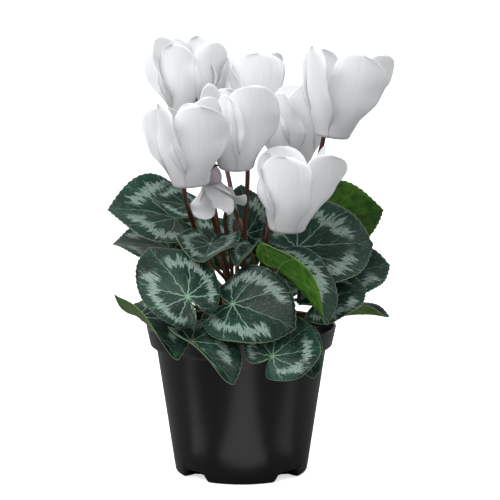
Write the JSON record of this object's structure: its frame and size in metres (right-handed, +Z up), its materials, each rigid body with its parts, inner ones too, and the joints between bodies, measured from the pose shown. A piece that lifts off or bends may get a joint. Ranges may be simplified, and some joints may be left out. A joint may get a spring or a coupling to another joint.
{
  "type": "potted cyclamen",
  "caption": "Cyclamen in bloom in a black nursery pot, with heart-shaped silver-marked leaves and white flowers on bare stalks.",
  "frame": {"origin": "middle of the pot's flat foot, on the surface the pot stands on", "axes": "+Z up along the pot, -Y towards the front of the plant"},
  "size_m": [0.1759, 0.1751, 0.2734],
  "materials": {
    "pot": "satin",
    "soil": "matte",
    "corm": "matte",
    "leaf": "satin",
    "petal": "satin",
    "stalk": "satin"
  },
  "bodies": {
    "root": {"bloom_back": "petal", "bloom_back_left": "petal", "bloom_back_left_stalk": "stalk", "bloom_back_stalk": "stalk", "bloom_front": "petal", "bloom_front_stalk": "stalk", "bloom_left": "petal", "bloom_left_stalk": "stalk", "bloom_right_high": "petal", "bloom_right_high_stalk": "stalk", "bloom_right_low": "petal", "bloom_right_low_stalk": "stalk", "bloom_right_mid": "petal", "bloom_right_mid_stalk": "stalk", "bloom_young": "petal", "bloom_young_stalk": "stalk", "bud": "stalk", "corm": "corm", "leaf_back_high": "leaf", "leaf_back_left": "leaf", "leaf_back_left_high": "leaf", "leaf_back_low": "leaf", "leaf_back_right": "leaf", "leaf_centre": "leaf", "leaf_centre_back": "leaf", "leaf_centre_left": "leaf", "leaf_fold_right": "leaf", "leaf_front": "leaf", "leaf_front_left": "leaf", "leaf_front_left_low": "leaf", "leaf_front_right_low": "leaf", "leaf_front_tip": "leaf", "leaf_left": "leaf", "leaf_left_back": "leaf", "leaf_left_back_low": "leaf", "leaf_left_low": "leaf", "leaf_right": "leaf", "leaf_right_back": "leaf", "leaf_right_back_low": "leaf", "leaf_right_low": "leaf", "leaf_right_mid": "leaf", "leaf_right_tip": "leaf", "leaf_young": "leaf", "pot": "pot", "soil": "soil"}
  },
  "joints": []
}
